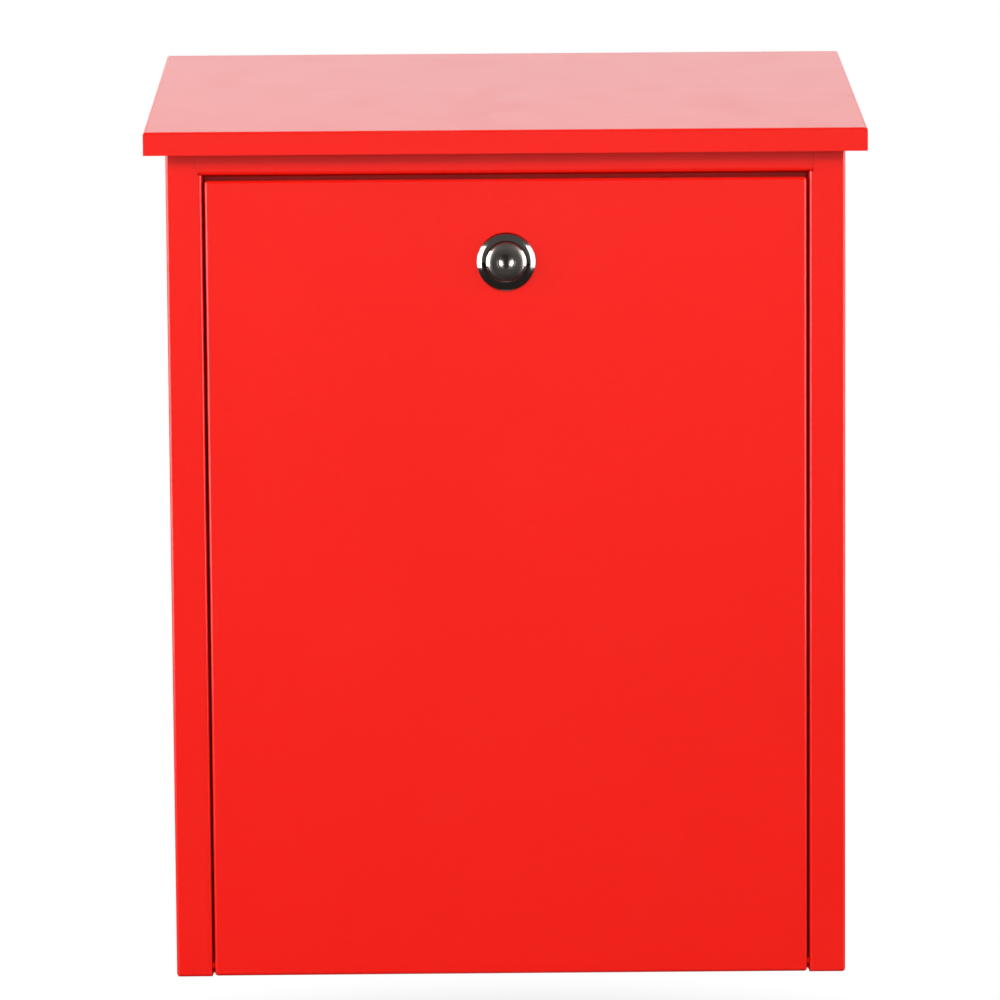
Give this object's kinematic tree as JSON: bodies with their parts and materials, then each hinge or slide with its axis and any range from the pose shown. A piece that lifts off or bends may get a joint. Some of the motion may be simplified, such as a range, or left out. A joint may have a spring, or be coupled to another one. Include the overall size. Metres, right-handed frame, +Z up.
{
  "type": "letter box",
  "caption": "Red powder-coated sheet-steel letter box with a sloping posting lid, a drop-down front door and a nickel cam lock.",
  "frame": {"origin": "centre of the four wall holes, on the back face that lies against the wall", "axes": "+X to the viewer's right, +Y into the wall, +Z up"},
  "size_m": [0.32, 0.155, 0.4169],
  "materials": {
    "red_paint": "satin powder coat",
    "polished_nickel": "polished nickel plate",
    "zinc_steel": "bright zinc plate",
    "rubber_pads": "matte"
  },
  "bodies": {
    "case": {"case_shell": "red_paint", "back_panel": "red_paint", "top_rail": "red_paint", "door_pin_left": "red_paint", "door_pin_right": "red_paint", "lid_bumpers": "rubber_pads", "door_bumpers": "rubber_pads", "hinge_leaf_case": "red_paint", "hinge_pin": "zinc_steel"},
    "lid": {"lid": "red_paint", "hinge_leaf_lid": "red_paint"},
    "door": {"door": "red_paint", "lock_rosette": "polished_nickel", "lock_housing": "polished_nickel", "lock_washer": "zinc_steel", "lock_nut": "zinc_steel"},
    "lock_core": {"lock_plug": "polished_nickel", "cam_stop_disc": "zinc_steel", "cam": "zinc_steel", "cam_washer": "zinc_steel", "cam_screw": "zinc_steel"}
  },
  "joints": [
    {"name": "lid_hinge", "type": "hinge", "parent": "case", "child": "lid", "pos_m": [0, -0.00455, 0.21384], "axis": [-1, 0, 0], "range_deg": [0, 90]},
    {"name": "door_hinge", "type": "hinge", "parent": "case", "child": "door", "pos_m": [0, -0.14, -0.1956], "axis": [1, 0, 0], "range_deg": [0, 100]},
    {"name": "lock_turn", "type": "hinge", "parent": "door", "child": "lock_core", "pos_m": [0, -0.145, 0.1217], "axis": [0, 1, 0], "range_deg": [0, 90]}
  ]
}
